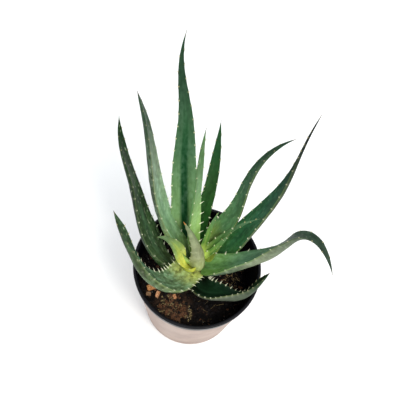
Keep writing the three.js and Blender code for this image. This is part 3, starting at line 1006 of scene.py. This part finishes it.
class Bit(Enum):
    """The kinds of loose bits in the potting mix, each with its shape's proportions."""

    CRUMB = (1.0, 0.85, 0.7)
    GRIT = (1.0, 0.9, 0.8)
    FLAKE = (1.6, 1.0, 0.3)
    FIBRE = (7.0, 0.3, 0.3)


@dataclass
class Scatter:
    """A crowd of loose bits that lie in the mix. Sizes are in mm.

    Attributes:
        name: The name of the piece that they make.
        kind: What is scattered.
        count: How many there are.
        sizes: Least and greatest size.
        finish: Their finish.
        patch: The middle x, y and radius of the patch, or None for the whole top.
        sink: How deep they sit, as a share of their size.
    """

    name: str
    kind: Bit
    count: int
    sizes: tuple[float, float]
    finish: Fragment
    patch: tuple[float, float, float] | None = None
    sink: float = 0.25

    MODELS = 3  # different bits that are copied
    SPREAD = 50  # keeps their lumps apart
    LUMPINESS = 1.7  # lumps for each unit of length
    LUMPS = 0.3  # unevenness of a bit, as a share of its size
    CURL = (0, 1.0, 0.5)  # how far a fibre's ends bend aside and up
    WHOLE_TOP = (0, 0, 58)
    LARGE = 0.3  # share of the bits that may have any size, where the others are small
    TILTS = (0.35, 0.25)  # usual tilt about x and y in radians
    WALL_GAP = 1.5
    RAISE = 0.35  # height of a bit's middle over the soil before it sinks, as a share of its size
    GAP_SIZE = 5  # of the ragged gaps in a patch
    GAP_LEVEL = -0.08

    def make_bit(self, rng: random.Random) -> Piece:
        """Models one loose bit as a unit.

        Args:
            rng: The source of its unevenness.

        Returns:
            The model.
        """
        fibre = self.kind is Bit.FIBRE
        if fibre:
            model = primitive("fibre_model", "cylinder", vertices=5, radius=0.5, depth=1,
                              rotation=(0, math.pi / 2, 0))
            cut_edges(model, 5, axis=0)
        elif self.kind is Bit.FLAKE:
            model = primitive("flake_model", "cube", size=1)
            cut_edges(model, 1)
        else:
            model = primitive("crumb_model", "ico_sphere", subdivisions=2, radius=0.5)
        places = points_of(model)
        shift = Vector([rng.uniform(0, self.SPREAD) for _ in range(3)])
        lumps = np.array([noise.noise_vector(Vector(place) * self.LUMPINESS + shift) for place in places])
        lumps *= [self.LUMPS * (self.LUMPS if fibre else 1), self.LUMPS, self.LUMPS]
        curl = places[:, :1] ** 2 * self.CURL if fibre else 0
        move_points(model, (places + lumps + curl) * self.kind.value)
        return model

    def build(self, mix: "PottingMix") -> None:
        """Scatters copies of a few models over the soil, joins them and dresses them.

        Args:
            mix: The potting mix that they lie in.
        """
        rng = random.Random(f"{SEED} {self.name}")
        models = [self.make_bit(rng) for _ in range(self.MODELS)]
        middle_x, middle_y, radius = self.patch or self.WHOLE_TOP
        least, most = self.sizes
        bits = []
        while len(bits) < self.count:
            reach = radius * math.sqrt(rng.random())
            angle = rng.uniform(0, math.tau)
            size = rng.uniform(least, most if rng.random() < self.LARGE else (least + most) / 2)
            x, y = middle_x + reach * math.cos(angle), middle_y + reach * math.sin(angle)
            level = mix.level(x, y)
            room = mix.pot.inner_radius(level) - self.WALL_GAP - size * self.kind.value[0] / 2
            turn = Matrix.Rotation(rng.uniform(0, math.tau), 4, "Z")
            for axis, tilt in zip("XY", self.TILTS):
                turn = turn @ Matrix.Rotation(rng.gauss(0, tilt), 4, axis)
            bare = any(math.hypot(x - spot_x, y - spot_y) < spot for spot_x, spot_y, spot in mix.clear)
            gap = self.patch and noise.noise(Vector((x, y, 5)) / self.GAP_SIZE) < self.GAP_LEVEL
            if bare or gap or math.hypot(x, y) > room:
                continue
            place = Matrix.Translation(Vector((x, y, level + size * (self.RAISE - self.sink))) * MM)
            bits.append(placed_copy(rng.choice(models), place @ turn @ Matrix.Scale(size * MM, 4)))
        dress(joined(self.name, bits), [self.finish], 50)
        for model in models:
            discard(model)


@dataclass
class PottingMix:
    """The soil in the pot, and the crumbs, fibres, grit and bark flakes that lie in it. Sizes are in mm."""

    pot: NurseryPot
    clear: Sequence[tuple[float, float, float]] = ()  # middle x, y and radius of the spots that stay bare
    top: float = 108.0
    fall: float = 30.0
    low_side: float = 12.0  # degrees from +X
    fall_start: float = -0.1
    fall_power: float = 1.4
    clod_size: float = 11.0
    clod_height: float = 1.6
    clod_fractal: tuple[float, float, int] = (0.9, 2.1, 4)  # dimension, lacunarity and octaves
    crumb_size: float = 2.3
    crumb_height: float = 0.9
    clearance: float = 0.3
    rings: int = 76
    steps: int = 230
    bits: tuple[Scatter, ...] = (
        Scatter("soil_crumbs_dark", Bit.CRUMB, 620, (1.2, 4.2), DARK_CRUMB),
        Scatter("soil_crumbs_brown", Bit.CRUMB, 240, (0.9, 3.0), BROWN_CRUMB),
        # The tan crumbs at the front crowd where light falls on the soil: they are dry bits, and they also
        # paint that pool of light.
        Scatter("soil_crumbs_front_left", Bit.CRUMB, 85, (0.8, 2.4), TAN_FIBRE, (-21.0, -40.0, 10.5)),
        Scatter("soil_crumbs_front_right", Bit.CRUMB, 85, (0.8, 2.4), TAN_FIBRE, (-5.0, -45.0, 10.5)),
        Scatter("soil_crumbs_right", Bit.CRUMB, 60, (0.8, 2.2), TAN_FIBRE, (38.0, 6.0, 10.0)),
        Scatter("soil_fibres", Bit.FIBRE, 80, (0.6, 1.6), TAN_FIBRE, sink=0.0),
        Scatter("soil_grit", Bit.GRIT, 46, (0.8, 1.7), PERLITE),
        Scatter("soil_flakes", Bit.FLAKE, 64, (1.5, 3.6), BARK_FLAKE),
        Scatter("soil_flakes_front", Bit.FLAKE, 46, (1.5, 4.0), BARK_FLAKE, (-14.0, -43.0, 15.0)),
    )

    def level(self, x: float, y: float) -> float:
        """The level of the soil at a place: high round the stem and the left, falling to the low side."""
        low = math.radians(self.low_side)
        reach = self.pot.inner_radius(self.top)
        across = (x * math.cos(low) + y * math.sin(low)) / reach
        share = max(0.0, (across - self.fall_start) / (1 - self.fall_start))
        clods = noise.fractal(Vector((x, y, 3)) / self.clod_size, *self.clod_fractal) * self.clod_height
        return self.top - self.fall * share**self.fall_power + clods

    def make_bed(self) -> Piece:
        """Models the soil itself, a plug whose top is raised into clods."""
        reach = self.pot.inner_radius(self.top) - self.clearance
        foot = self.pot.floor + self.clearance
        wall_foot = self.pot.inner_radius(foot) - self.pot.edge - self.clearance
        top = [(reach * i / self.rings, self.top) for i in range(self.rings, -1, -1)]
        bed = spun("soil_bed", [(0, foot), (wall_foot, foot), *top], self.steps)
        places = points_of(bed) / MM
        for row in places:
            if row[2] > self.top - 1:
                crumb = self.crumb_height * noise.noise(Vector(row) / self.crumb_size)
                level = self.level(row[0], row[1]) + crumb
                radius = math.hypot(row[0], row[1])
                row[:2] *= (self.pot.inner_radius(level) - self.clearance) / reach
                row[2] = level if radius > 0 else self.level(0, 0)
        move_points(bed, places * MM)
        return bed

    def build(self) -> None:
        """Models the soil and what lies in it."""
        dress(self.make_bed(), [PottingSoil()], 180, "soil")
        for bits in self.bits:
            bits.build(self)


# ---- stem and bark ----


@dataclass
class Stem:
    """The short stem, ringed with the scars of old leaves. Sizes are in mm."""

    radius: float = 7.0
    foot: float = 84.0
    foot_radius: float = 5.0
    foot_taper: float = 3.0
    shoulder: float = 140.0
    shoulder_inset: float = 0.4
    top: float = 150.0
    tip_radius: float = 3.0
    scar_gap: float = 3.4
    scar_depth: float = 0.6
    scar_share: float = 0.7  # where in the gap a scar ends
    steps: int = 48

    def build(self) -> None:
        """Models and dresses the stem."""
        outline = [(0, self.foot), (self.foot_radius, self.foot)]
        first = self.foot + self.foot_taper
        for i in range(int((self.shoulder - first) / self.scar_gap)):
            low, high = first + i * self.scar_gap, first + (i + self.scar_share) * self.scar_gap
            outline += [(self.radius - self.scar_depth, low), (self.radius, high)]
        outline.append((self.radius - self.shoulder_inset, self.shoulder))
        outline += [(self.tip_radius, self.top), (0, self.top)]
        dress(spun("aloe_stem", outline, self.steps), [STEM_SKIN], 50, "stem")


@dataclass
class BarkChip:
    """One larger chip of bark: a slab with broken, fibrous edges. Sizes are in mm, and angles in degrees."""

    node: str
    at: tuple[float, float]
    size: tuple[float, float, float]
    turn: float
    lean: float
    colour: str
    second: str
    lift: float = 0.8
    grain: float = 1.1

    CUTS = 7
    ROUNDING = 0.25  # of its corners
    SOLID = 0.92  # share of its size without the broken edges
    BREAKS = (0.08, 0.1, 0.14)  # depth of the broken edges along its length, width and thickness
    FIBRES = (1.5, 6, 6)  # how close together they lie along the same
    SPREAD = 100  # keeps the breaks of different chips apart

    def build(self) -> None:
        """Models and dresses the chip where its CAD node lies."""
        low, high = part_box(self.node)
        middle = (low + high) / 2
        chip = primitive(self.node.replace("bark", "bark_chip"), "cube", size=1)
        cut_edges(chip, self.CUTS)
        places = points_of(chip)
        unit = places * (1 - self.ROUNDING * np.abs(places[:, [1, 0, 2]]) ** 2)
        shift = middle * self.SPREAD
        rough = np.array([noise.noise_vector(Vector(place) + shift) for place in unit * self.FIBRES])
        solid = (unit * self.SOLID + rough * self.BREAKS) * self.size * MM
        lean = Matrix.Rotation(-math.radians(self.lean), 3, "Y")
        turn = Matrix.Rotation(math.radians(self.turn), 3, "Z") @ lean
        move_points(chip, solid @ np.array(turn).T + np.array(middle) + [0, 0, self.lift * MM])
        bark = Fragment(f"bark_{self.node}_dry", self.colour, self.second, self.grain)
        dress(chip, [bark], 40, self.node)


# ---- studio ----


@dataclass
class Softbox:
    """A square area light that faces the plant.

    Attributes:
        name: Its name.
        direction: Where it stands, seen from the plant.
        size: The length of its sides in metres.
        power: Its power in watts.
        colour: Its colour as a hex value.
        distance: How far away it is, in metres.
    """

    name: str
    direction: tuple[float, float, float]
    size: float
    power: float
    colour: str
    distance: float = 1.6

    AIM = (0, 0, 0.15)  # the middle of the plant

    def build(self) -> None:
        """Adds the light."""
        light = bpy.data.lights.new(self.name, "AREA")
        light.shape = "SQUARE"
        light.size = self.size
        light.energy = self.power
        light.color = linear(self.colour)[:3]
        holder = bpy.data.objects.new(self.name, light)
        way = Vector(self.direction).normalized()
        holder.location = Vector(self.AIM) + way * self.distance
        holder.rotation_euler = way.to_track_quat("Z", "Y").to_euler()
        bpy.context.collection.objects.link(holder)


@dataclass
class Studio:
    """The camera at the photograph's viewing angle, a pale floor and soft light. Places are in metres."""

    camera_at: tuple[float, float, float] = (-0.00207, -0.28719, 0.99540)
    right: tuple[float, float, float] = (0.97717, 0.19681, 0.07999)
    down: tuple[float, float, float] = (0.21244, -0.90526, -0.36793)
    lens: float = 77.88
    near: float = 0.05  # nothing nearer to the camera shows
    floor_size: float = 6.0
    air: str = "#f6faff"
    lights: tuple[Softbox, ...] = (
        Softbox("key_light", (0.304, -0.371, 0.878), 0.3, 9, "#fffaf2"),
        Softbox("softbox", (0.45, -0.35, 0.82), 1.4, 12, "#ffffff"),
    )

    def add_camera(self) -> None:
        """Adds the camera. It looks a little past the plant's heart, and is turned about its own axis."""
        camera = bpy.data.cameras.new("camera")
        camera.lens = self.lens
        camera.sensor_width = 36.0
        camera.clip_start = self.near
        holder = bpy.data.objects.new("camera", camera)
        right, up = Vector(self.right).normalized(), -Vector(self.down).normalized()
        turn = Matrix((right, up, right.cross(up))).transposed()
        holder.matrix_world = Matrix.Translation(self.camera_at) @ turn.to_4x4()
        bpy.context.collection.objects.link(holder)
        bpy.context.scene.camera = holder

    def add_floor(self) -> None:
        """Adds the pale floor."""
        floor = primitive("studio_floor", "plane", size=self.floor_size, location=(0, 0, 0))
        surface = Surface("floor_matt_white")
        clouds = surface.add(Node.NOISE, surface.add(Node.PLACE), 3.0, 3.0)
        colour = surface.add(Node.MIX, clouds, "#f4f4f2", "#fafaf9")
        surface.feed(surface.shader, {"Base Color": colour, "Roughness": 0.8})
        floor.data.materials.append(surface.material)

    def build(self) -> None:
        """Sets up the camera, the floor, the lights and the surroundings."""
        scene = bpy.context.scene
        scene.view_settings.view_transform = "Standard"
        self.add_camera()
        self.add_floor()
        for light in self.lights:
            light.build()
        world = bpy.data.worlds.new("studio_surroundings")
        world.use_nodes = True
        background = world.node_tree.nodes["Background"]
        background.inputs["Color"].default_value = linear(self.air)
        background.inputs["Strength"].default_value = 1.0
        scene.world = world


def main() -> None:
    """Builds the studio, the pot, the mix, the stem, the bark and the leaves."""
    logging.basicConfig(level=logging.INFO, format="%(message)s")
    noise.seed_set(SEED)
    Studio().build()
    pot = NurseryPot()
    pot.build()
    chips = (
        BarkChip("bark_flat", (-42, -26), (9, 6, 3), 30, 10, "#9a5c30", "#d29a62"),
        BarkChip("bark_upright", (-34, -33), (10.5, 4, 3), 80, 30, "#b07048", "#dcae84"),
        BarkChip("bark_middle", (-16, -30), (5, 3.5, 2.5), 120, 20, "#7d5034", "#c08a5e"),
        BarkChip("bark_small", (-43, -33), (5, 4, 2.5), 10, 15, "#7d5640", "#9a7d5c"),
    )
    PottingMix(pot, clear=[(*chip.at, chip.size[0] / 2) for chip in chips]).build()
    Stem().build()
    for chip in chips:
        chip.build()
    Rosette().build()


if __name__ == "__main__":
    main()
